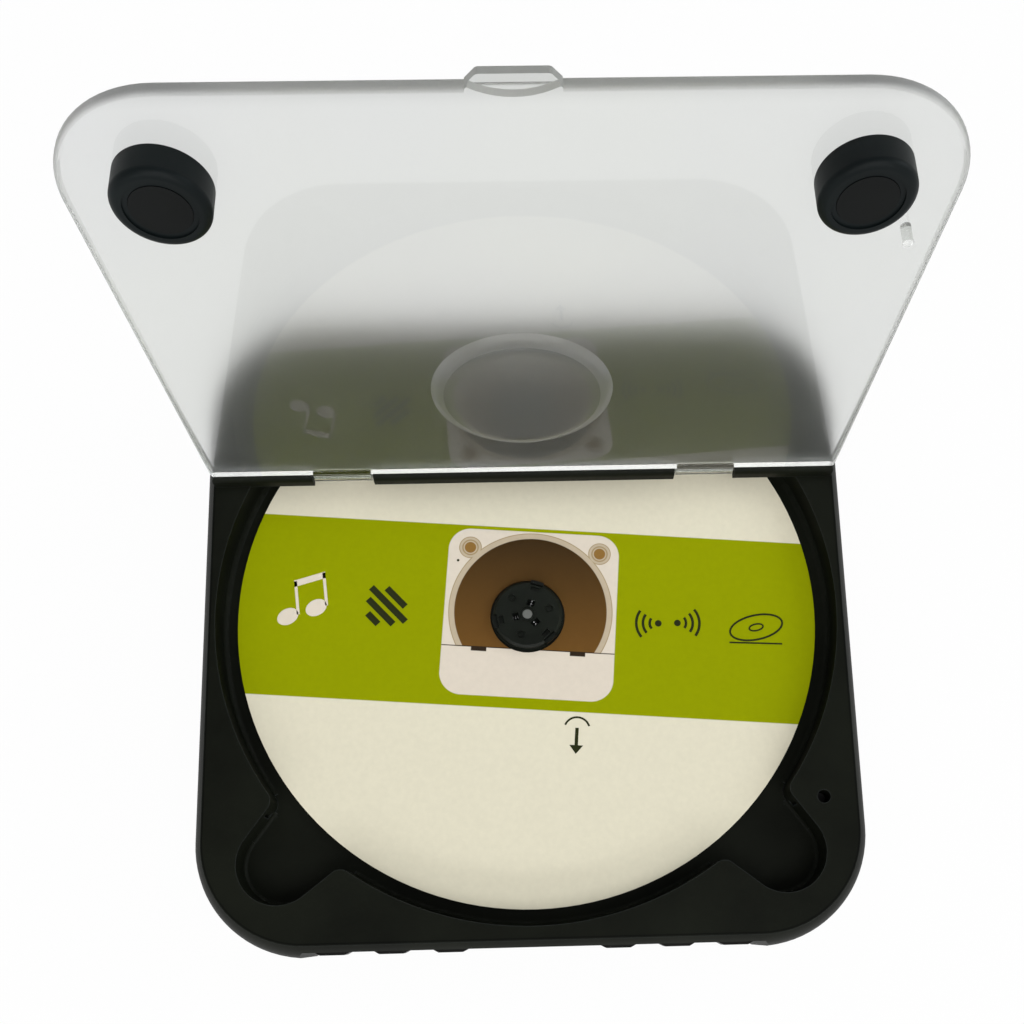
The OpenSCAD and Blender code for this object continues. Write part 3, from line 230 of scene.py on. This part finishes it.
class Maths:
    """Sums and flat shapes written as nodes; a shape is its distance in millimetres, negative inside."""

    def __init__(self, nodes, links):
        self.nodes, self.links = nodes, links

    def plug(self, value, socket):
        if isinstance(value, bpy.types.NodeSocket):
            self.links.new(value, socket)
        else:
            socket.default_value = value

    def do(self, op, *values):
        n = self.nodes.new("ShaderNodeMath")
        n.operation = op
        for value, socket in zip(values, n.inputs):
            self.plug(value, socket)
        return n.outputs["Value"]

    def plane(self, turn=0.0):
        """X and Y of the piece in millimetres, turned about its middle."""
        mapping = self.nodes.new("ShaderNodeMapping")
        mapping.inputs["Rotation"].default_value = (0, 0, -turn)
        mapping.inputs["Scale"].default_value = (1 / MM, 1 / MM, 1 / MM)
        self.links.new(coordinates(self.nodes), mapping.inputs["Vector"])
        split = self.nodes.new("ShaderNodeSeparateXYZ")
        self.links.new(mapping.outputs["Vector"], split.inputs["Vector"])
        return split.outputs["X"], split.outputs["Y"]

    def length(self, x, y):
        return self.do("SQRT", self.do("ADD", self.do("MULTIPLY", x, x), self.do("MULTIPLY", y, y)))

    def circle(self, at, centre, r):
        x, y = (self.do("SUBTRACT", v, c) for v, c in zip(at, centre))
        return self.do("SUBTRACT", self.length(x, y), r)

    def block(self, at, centre, half, corner=0.0):
        x, y = (
            self.do("SUBTRACT", self.do("ABSOLUTE", self.do("SUBTRACT", v, c)), h - corner)
            for v, c, h in zip(at, centre, half)
        )
        outside = self.length(self.do("MAXIMUM", x, 0.0), self.do("MAXIMUM", y, 0.0))
        within = self.do("MINIMUM", self.do("MAXIMUM", x, y), 0.0)
        return self.do("SUBTRACT", self.do("ADD", outside, within), corner)

    def outline(self, shape, half_width):
        return self.do("SUBTRACT", self.do("ABSOLUTE", shape), half_width)

    def inside(self, shape, edge_mm=0.06):
        """1 inside the shape, with a soft printed edge."""
        m = self.nodes.new("ShaderNodeMapRange")
        m.inputs["From Min"].default_value = edge_mm
        m.inputs["From Max"].default_value = -edge_mm
        self.links.new(shape, m.inputs["Value"])
        return m.outputs["Result"]

    def colour(self, below, above, share, blend="MIX"):
        m = self.nodes.new("ShaderNodeMix")
        m.data_type = "RGBA"
        m.blend_type = blend
        for value, socket in ((share, m.inputs[0]), (below, m.inputs[6]), (above, m.inputs[7])):
            self.plug((*value, 1) if isinstance(value, tuple) else value, socket)
        return m.outputs[2]


# The case: textured black with a fine dark line of painted shade around the deck, and painted highlights
# along its moulded edges. Measures are in millimetres.
SWELL = 2.4
DECK_CORNER = 20.5
DECK_LINE_IN, DECK_LINE_HALF = 0.3, 0.12
DECK_LINE_PAINTED_SHADE = (0.3, 0.3, 0.3)
EDGE_RADIUS = 0.3
EDGE_PAINTED_HIGHLIGHT = (0.026, 0.03, 0.029)


def case_plastic(name, base):
    """Moulded black with the deck's dark line of painted shade, and a painted highlight: a paler tone
    where the moulded edges catch light.
    """
    m = moulded(name, base, 0.48, gloss=0.07)
    nodes, links = m.node_tree.nodes, m.node_tree.links
    shader = find(nodes, "BSDF_PRINCIPLED")
    calc = Maths(nodes, links)
    low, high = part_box("main_case")
    middle = ((low + high) / 2 / MM).to_2d()
    half = ((high - low) / 2 / MM).to_2d() - Vector((SWELL, SWELL))
    deck = calc.block(calc.plane(), middle, half, DECK_CORNER)
    line = calc.outline(calc.do("ADD", deck, DECK_LINE_IN), DECK_LINE_HALF)
    tone = shader.inputs["Base Color"].links[0].from_socket
    # Painted shade: a dark line multiplied into the deck just inside its edge.
    tone = calc.colour(tone, DECK_LINE_PAINTED_SHADE, calc.inside(line), "MULTIPLY")
    # Painted highlight: a paler tone blended into the colour along moulded edges.
    tone = calc.colour(tone, EDGE_PAINTED_HIGHLIGHT, edge_share(nodes, links, EDGE_RADIUS))
    links.new(tone, shader.inputs["Base Color"])
    return m


# The card's print. Places and sizes are in millimetres from the card's middle, turned by its tilt.
CARD_TILT = math.radians(-4.57)
BAND_LOW, BAND_HIGH = -19.7, 19.3
PANEL_AT, PANEL_HALF, PANEL_CORNER = (0.5, 0.6), 17.95, 4.6
DISC_AT, DISC_R, DISC_RIM = (0.55, 1.12), 15.9, 1.15
PAD_SPOTS, PAD_R = ((-12.9, 14.4), (14.35, 14.5)), 2.3
PAD_RING_R, PAD_RING_HALF, PAD_CENTRE_R = 1.6, 0.14, 1.2
RIM_LINE_HALF, SEAM_HALF = 0.08, 0.1
PIN_SPOT, PIN_R = (-15.3, 11.4), 0.28
BEYOND_CARD = 100.0
FLAP_Y = -7.06
NOTCHES, NOTCH_HALF = (-9.7, 10.8), (1.6, 0.45)
CREAM = (0.725, 0.682, 0.535)
GREEN = (0.27, 0.307, 0.0004)
WHITE = (0.7, 0.625, 0.525)
TAN = (0.5, 0.415, 0.3)
TAN_DARK = (0.34, 0.25, 0.127)
OCHRE = (0.26, 0.14, 0.037)
INK = (0.022, 0.026, 0.008)
SEAM_BROWN = (0.03, 0.02, 0.012)
BROWN_DARK = (0.045, 0.025, 0.009)
BROWN_LIGHT = (0.145, 0.07, 0.017)


def printed_card():
    """Cream card with a tilted green band and a plain picture of a white case with a brown disc."""
    m, nodes, links, shader = principled("card_paper", CREAM, 0.6, Specular_IOR_Level=0.03)
    calc = Maths(nodes, links)
    at = calc.plane(CARD_TILT)
    band_middle, band_half = (BAND_LOW + BAND_HIGH) / 2, (BAND_HIGH - BAND_LOW) / 2
    band = calc.block(at, (0.0, band_middle), (BEYOND_CARD, band_half))
    panel = calc.block(at, PANEL_AT, (PANEL_HALF, PANEL_HALF), PANEL_CORNER)
    below = calc.do("SUBTRACT", FLAP_Y, at[1])
    disc = calc.do("MAXIMUM", calc.circle(at, DISC_AT, DISC_R), below)
    rim = calc.circle(at, DISC_AT, DISC_R + DISC_RIM)
    for spot in PAD_SPOTS:
        rim = calc.do("MINIMUM", rim, calc.circle(at, spot, PAD_R))
    rim = calc.do("MAXIMUM", calc.do("MAXIMUM", rim, below), panel)
    fade = nodes.new("ShaderNodeMapRange")
    fade.inputs["From Min"].default_value = DISC_R
    fade.inputs["From Max"].default_value = FLAP_Y
    links.new(at[1], fade.inputs["Value"])
    brown = calc.colour(BROWN_DARK, BROWN_LIGHT, fade.outputs["Result"])
    seam = calc.do("MAXIMUM", calc.block(at, (0.0, FLAP_Y), (BEYOND_CARD, SEAM_HALF)), panel)
    colour = calc.colour(CREAM, GREEN, calc.inside(band))
    colour = calc.colour(colour, WHITE, calc.inside(panel))
    colour = calc.colour(colour, TAN, calc.inside(rim))
    colour = calc.colour(colour, TAN_DARK, calc.inside(calc.outline(rim, RIM_LINE_HALF)))
    for spot in PAD_SPOTS:
        ring = calc.outline(calc.circle(at, spot, PAD_RING_R), PAD_RING_HALF)
        colour = calc.colour(colour, TAN_DARK, calc.inside(ring))
        colour = calc.colour(colour, OCHRE, calc.inside(calc.circle(at, spot, PAD_CENTRE_R)))
    colour = calc.colour(colour, brown, calc.inside(disc))
    colour = calc.colour(colour, SEAM_BROWN, calc.inside(seam))
    for x in NOTCHES:
        notch = calc.block(at, (x, FLAP_Y - NOTCH_HALF[1]), NOTCH_HALF)
        colour = calc.colour(colour, SEAM_BROWN, calc.inside(notch))
    colour = calc.colour(colour, INK, calc.inside(calc.circle(at, PIN_SPOT, PIN_R)))
    fleck = noise(nodes, links, 900, 4)
    tone = ramp(nodes, links, fleck, [(0.3, (0.96, 0.96, 0.96)), (0.7, (1, 1, 1))])
    links.new(calc.colour(colour, tone, 1.0, "MULTIPLY"), shader.inputs["Base Color"])
    links.new(spread(nodes, links, fleck, 0.55, 0.65), shader.inputs["Roughness"])
    bump(nodes, links, shader, noise(nodes, links, 5000, 3), 0.004)
    return m


# One look for each material slot of the record
LID_TINT = (0.777, 0.79, 0.77)
lid_looks = {
    "frosted": clear("lid_frosted", LID_TINT, 0.29, haze=(0.0, 0.08), depth_mm=0.01),
    "polished": clear("lid_polished", LID_TINT, 0.03),
    "pad": clear("lid_pad", LID_TINT, 0.2, haze=(0.0, 0.04), depth_mm=0.01),
    "pad_edge": clear("lid_pad_edge", LID_TINT, 0.3, haze=(0.0, 0.08), depth_mm=0.01),
    "rim": clear("lid_rim", (0.66, 0.67, 0.65), 0.5, haze=(0.2, 0.3)),
}
looks = {
    "case_black": case_plastic("case_black", (0.0062, 0.0072, 0.0046)),
    "cover_black": moulded("cover_black", (0.0065, 0.006, 0.005), 0.5),
    "foot_rubber": moulded("foot_rubber", (0.02, 0.02, 0.02), 0.75, 0.5, 0.03),
    "screw_steel": metal("screw_steel", (0.5, 0.5, 0.52), 0.35),
    "clear_lid": lid_looks["frosted"],
    "pin_steel": metal("pin_steel", (0.3, 0.31, 0.29), 0.4),
    "cup_black": moulded("cup_black", (0.0045, 0.0068, 0.0072), 0.42, 0.15, 0.004, gloss=0.09),
    "magnet_grey": moulded("magnet_grey", (0.0028, 0.0036, 0.0036), 0.45, 0.2, 0.006, gloss=0.1),
    "catch_steel": metal("catch_steel", (0.55, 0.55, 0.57), 0.4),
    "key_black": moulded("key_black", (0.006, 0.006, 0.005), 0.45),
    "switch_black": moulded("switch_black", (0.02, 0.02, 0.02), 0.4),
    # The switch plunger is set near black: painted shade of the deep hole it sits in.
    "plunger_black": moulded("plunger_black", (0.01, 0.01, 0.01), 0.4, 0.3, 0.01, 0.05),
    "switch_metal": metal("switch_metal", (0.62, 0.62, 0.64), 0.3),
    "board_green": moulded("board_green", (0.01, 0.09, 0.04), 0.35, 0.6, 0.02, 0.3),
    "chip_black": moulded("chip_black", (0.012, 0.012, 0.013), 0.4),
    "cell_grey": moulded("cell_grey", (0.12, 0.13, 0.16), 0.3, 0.8, 0.02, 0.15),
    "speaker_black": moulded("speaker_black", (0.015, 0.015, 0.016), 0.5),
    "chassis_grey": moulded("chassis_grey", (0.03, 0.03, 0.032), 0.5),
    "motor_steel": metal("motor_steel", (0.6, 0.6, 0.62), 0.3),
    "turntable_black": moulded("turntable_black", (0.0062, 0.0082, 0.0052), 0.36, 0.15, 0.006),
    "jaw_black": moulded("jaw_black", (0.0055, 0.0068, 0.005), 0.3, 0.15, 0.004),
    "spring_steel": metal("spring_steel", (0.4, 0.4, 0.4), 0.25),
    "pickup_grey": moulded("pickup_grey", (0.02, 0.02, 0.022), 0.42),
    "lens_clear": clear("lens_clear", (0.75, 0.82, 0.95), 0.03),
    "gear_white": moulded("gear_white", (0.7, 0.68, 0.62), 0.4, 0.3, 0.01, 0.04),
    "pinion_brass": metal("pinion_brass", (0.75, 0.55, 0.25), 0.3),
    "card_paper": printed_card(),
}
for part in frame["record"]["subparts"]:
    mesh = node[part["node"]].data
    mesh.materials.clear()
    mesh.materials.append(looks[part["material_slot"]])

# The lid: polished inside, frosted outside, with a soft rim and a grained pad
lid_joint = next(j for j in frame["record"]["behaviour"]["joints"] if j["name"] == "lid_close")
HINGE = Vector(lid_joint["pos_m"])
LID_OPEN = math.radians(lid_joint["range_deg"][1])
INWARD = Vector((0, -math.sin(LID_OPEN), -math.cos(LID_OPEN)))
UPWARD = Vector((0, -math.cos(LID_OPEN), math.sin(LID_OPEN)))
PAD_REACH = 16.6 * MM
TABS_END = 2.1 * MM
RAISED = 0.02 * MM
FLAT = 0.97
SAME_PLANE = 0.999
DOWNWARD = -0.5
EDGE_SHADE_REACH = 4.6 * MM
EDGE_SHADE = (0.84, 0.84, 0.84)


def lid_look(face, place, inner):
    """Look of one face of the open lid, from where it lies and how it faces."""
    across = place @ face.center - HINGE
    up, depth, facing = across.dot(UPWARD), across.dot(INWARD), face.normal.dot(INWARD)
    raised = depth > inner + RAISED
    if raised and math.hypot(across.x, up - HINGE.y) < PAD_REACH:
        return "pad" if facing > FLAT else "pad_edge"
    if raised or up < TABS_END:
        return "polished"
    if abs(facing) < FLAT and face.normal.dot(UPWARD) > DOWNWARD:
        return "rim"
    return "polished" if facing > 0 else "frosted"


def dress_lid():
    """Gives each face of the lid its look; the widest flat face inside marks where raised parts begin."""
    lid = node["lid"]
    names = list(lid_looks)
    for name in names[1:]:
        lid.data.materials.append(lid_looks[name])
    place = lid.matrix_world
    flats = [f for f in lid.data.polygons if f.normal.dot(INWARD) > SAME_PLANE]
    widest = max(flats, key=lambda f: f.area)
    inner = (place @ widest.center - HINGE).dot(INWARD)
    for face in lid.data.polygons:
        face.material_index = names.index(lid_look(face, place, inner))


def shade_far_edge(material):
    """Darkens clear plastic softly towards the lid's far edge, whose rounding turns light away."""
    nodes, links = material.node_tree.nodes, material.node_tree.links
    shader = find(nodes, "BSDF_PRINCIPLED")
    calc = Maths(nodes, links)
    height = nodes.new("ShaderNodeVectorMath")
    height.operation = "DOT_PRODUCT"
    links.new(coordinates(nodes), height.inputs[0])
    height.inputs[1].default_value = UPWARD
    top = max(v.co.dot(UPWARD) for v in node["lid"].data.vertices)
    reach = nodes.new("ShaderNodeMapRange")
    reach.interpolation_type = "SMOOTHSTEP"
    reach.inputs["From Min"].default_value = top - EDGE_SHADE_REACH
    reach.inputs["From Max"].default_value = top - EDGE_SHADE_REACH / 3
    links.new(height.outputs["Value"], reach.inputs["Value"])
    tone = shader.inputs["Base Color"].links[0].from_socket
    tone = calc.colour(tone, EDGE_SHADE, reach.outputs["Result"], "MULTIPLY")
    links.new(tone, shader.inputs["Base Color"])


dress_lid()
for name in ("polished", "frosted", "rim"):
    shade_far_edge(lid_looks[name])

# Signs printed on the card
SIGN_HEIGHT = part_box("transport_card")[1].z + 0.03 * MM
ink = moulded("print_ink", INK, 0.5, 0.4, 0.003, 0.1, 0.06)
paint = moulded("print_white", WHITE, 0.5, 0.4, 0.003, 0.03, 0.06)


def printed(name, shapes, at, turn, material):
    """Flat printed shapes, each a list of (x, y) points in millimetres, laid on the card."""
    x, y = at
    lay = Matrix.Translation((x * MM, y * MM, SIGN_HEIGHT)) @ Matrix.Rotation(turn, 4, "Z")
    mesh = bpy.data.meshes.new(name)
    bm = bmesh.new()
    for shape in shapes:
        bm.faces.new([bm.verts.new((px * MM, py * MM, 0)) for px, py in shape])
    bm.to_mesh(mesh)
    bm.free()
    mesh.transform(lay)
    mesh.materials.append(material)
    o = bpy.data.objects.new(name, mesh)
    bpy.context.scene.collection.objects.link(o)
    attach(o, "card")


def arc(cy, r, start_deg, end_deg, steps=24):
    """Points along an arc about (0, cy)."""
    turns = [math.radians(start_deg + (end_deg - start_deg) * i / steps) for i in range(steps + 1)]
    return [(r * math.cos(a), cy + r * math.sin(a)) for a in turns]


def stroke(points, width):
    """Strip of quads along a line of points."""
    quads = []
    for (x0, y0), (x1, y1) in zip(points, points[1:]):
        d = Vector((x1 - x0, y1 - y0)).normalized() * width / 2
        start = [(x0 - d.y, y0 + d.x), (x0 + d.y, y0 - d.x)]
        quads.append(start + [(x1 + d.y, y1 - d.x), (x1 - d.y, y1 + d.x)])
    return quads


def oval(cx, cy, rx, ry, turn=0.0, steps=28):
    c, s = math.cos(turn), math.sin(turn)
    turns = [2 * math.pi * i / steps for i in range(steps)]
    flat = [(rx * math.cos(a), ry * math.sin(a)) for a in turns]
    return [(cx + c * px - s * py, cy + s * px + c * py) for px, py in flat]


def oval_line(rx, ry, turn, steps, width):
    ring = oval(0, 0, rx, ry, turn, steps)
    return stroke(ring + ring[:1], width)


def bar(x0, y0, x1, y1):
    return [(x0, y0), (x1, y0), (x1, y1), (x0, y1)]


def print_notes():
    """A pair of white notes: two heads, two stems and the beam that joins them."""
    at, turn = (-47.5, 4.5), 0.1
    heads = [oval(x, y, 2.3, 1.7, 0.4) for x, y in ((-2.6, -3.2), (3.4, -2.0))]
    beam = [(-0.7, 3.0), (5.9, 4.2), (5.9, 5.6), (-0.7, 4.4)]
    printed("print_note_heads", heads, at, turn, paint)
    stems = [bar(-0.7, -3.0, -0.1, 4.2), bar(5.3, -1.8, 5.9, 5.4)]
    printed("print_note_stems", stems + [beam], at, turn, paint)


def print_bars():
    """Four level bars side by side."""
    heights, pitch, first, width = (3.2, 7.6, 10.4, 5.6), 2.2, -4.2, 1.4
    bars = []
    for i, h in enumerate(heights):
        left = first + pitch * i
        bars.append(bar(left, -h / 2, left + width, h / 2))
    printed("print_level_bars", bars, (-29.6, 2.6), 0.75, ink)


def print_waves():
    """Two dots, each with three arcs, that face away from each other."""
    waves = [oval(0, 0, 0.7, 0.7)]
    for r in (1.8, 3.2, 4.6):
        waves += stroke(arc(0, r, -38, 38), 0.55)
    printed("print_waves", waves, (27.2, -2.1), math.pi, ink)
    printed("print_waves_right", waves, (31.2, -2.1), 0, ink)


def print_disc():
    """A tilted disc with its hole, over a line."""
    shapes = oval_line(5.6, 2.6, 0.25, 48, 0.42) + oval_line(1.5, 0.7, 0.25, 24, 0.35)
    shapes += stroke([(-5.6, -3.4), (5.4, -3.4)], 0.35)
    printed("print_disc", shapes, (47.6, -3.4), -0.05, ink)


def print_arrow():
    """An arrow that rises from an arc."""
    shaft, head = bar(-0.35, -2.6, 0.35, 1.0), [(-1.4, 1.0), (1.4, 1.0), (0, 2.8)]
    shapes = [shaft, head] + stroke(arc(-2.2, 2.6, 200, 340), 0.4)
    printed("print_arrow", shapes, (9.4, -26.4), math.pi - 0.08, ink)


print_notes()
print_bars()
print_waves()
print_disc()
print_arrow()

# Stage and light. The room that gloss reflects is brighter round the horizon than overhead.
AMBIENT = 0.43
FLOOR_GLOW = 0.96
FLOOR_HALF = 3.0
ROOM_LOW, ROOM_HIGH = 0.7, 0.22
HORIZON, OVERHEAD = 0.15, 0.8


def add_floor():
    """Pale floor: keeps the shadow, and is white to the camera, through clear pieces and in gloss."""
    m, nodes, links, shader = principled("floor_pale", (0.8, 0.8, 0.8), 0.7)
    out = find(nodes, "OUTPUT_MATERIAL")
    glow = nodes.new("ShaderNodeEmission")
    glow.inputs["Color"].default_value = (1, 1, 1, 1)
    mix = nodes.new("ShaderNodeMixShader")
    path = nodes.new("ShaderNodeLightPath")
    calc = Maths(nodes, links)
    seen = calc.do("MAXIMUM", path.outputs["Is Camera Ray"], path.outputs["Is Transmission Ray"])
    seen = calc.do("MAXIMUM", seen, path.outputs["Is Glossy Ray"])
    links.new(calc.do("MULTIPLY", seen, FLOOR_GLOW), mix.inputs["Fac"])
    links.new(shader.outputs["BSDF"], mix.inputs[1])
    links.new(glow.outputs["Emission"], mix.inputs[2])
    links.new(mix.outputs["Shader"], out.inputs["Surface"])
    mesh = bpy.data.meshes.new("floor")
    r = FLOOR_HALF
    mesh.from_pydata([(-r, -r, 0), (r, -r, 0), (r, r, 0), (-r, r, 0)], [], [(0, 1, 2, 3)])
    floor = bpy.data.objects.new("floor", mesh)
    bpy.context.scene.collection.objects.link(floor)
    mesh.materials.append(m)


def add_world():
    """White where the camera looks or looks through, a room in gloss, and soft ambient light elsewhere."""
    world = bpy.data.worlds.new("world")
    bpy.context.scene.world = world
    world.use_nodes = True
    nodes, links = world.node_tree.nodes, world.node_tree.links
    nodes.clear()
    out = nodes.new("ShaderNodeOutputWorld")
    path = nodes.new("ShaderNodeLightPath")
    calc = Maths(nodes, links)

    def background(strength):
        n = nodes.new("ShaderNodeBackground")
        n.inputs["Color"].default_value = (1, 1, 1, 1)
        calc.plug(strength, n.inputs["Strength"])
        return n.outputs["Background"]

    def mixed(share, first, second):
        n = nodes.new("ShaderNodeMixShader")
        for value, socket in zip((share, first, second), n.inputs):
            links.new(value, socket)
        return n.outputs["Shader"]

    split = nodes.new("ShaderNodeSeparateXYZ")
    links.new(nodes.new("ShaderNodeTexCoord").outputs["Generated"], split.inputs["Vector"])
    height = nodes.new("ShaderNodeMapRange")
    height.inputs["From Min"].default_value = HORIZON
    height.inputs["From Max"].default_value = OVERHEAD
    height.inputs["To Min"].default_value = ROOM_LOW
    height.inputs["To Max"].default_value = ROOM_HIGH
    links.new(split.outputs["Z"], height.inputs["Value"])
    room = background(height.outputs["Result"])
    lighting = mixed(path.outputs["Is Glossy Ray"], background(AMBIENT), room)
    seen = calc.do("MAXIMUM", path.outputs["Is Camera Ray"], path.outputs["Is Transmission Ray"])
    links.new(mixed(seen, lighting, background(1)), out.inputs["Surface"])


LIT_SPOT = Vector((0, 0, 0.03))


def add_lamp(name, place, size, power, colour=(1, 1, 1)):
    """Soft rectangular lamp that faces the middle of the object."""
    data = bpy.data.lights.new(name, "AREA")
    data.shape = "RECTANGLE"
    data.size, data.size_y = size
    data.energy = power
    data.color = colour
    lamp = bpy.data.objects.new(name, data)
    lamp.location = place
    lamp.rotation_euler = (LIT_SPOT - Vector(place)).to_track_quat("-Z", "Y").to_euler()
    bpy.context.scene.collection.objects.link(lamp)


add_floor()
add_world()
add_lamp("window", (0.2, -1.25, 1.9), (2.2, 1.2), 28)
add_lamp("low_strip", (0, -1.9, 0.95), (3.4, 0.3), 17)
add_lamp("fill", (1.6, 0.2, 1.0), (0.8, 0.8), 9, (0.9, 0.97, 1))
bpy.context.scene.view_settings.view_transform = "Standard"
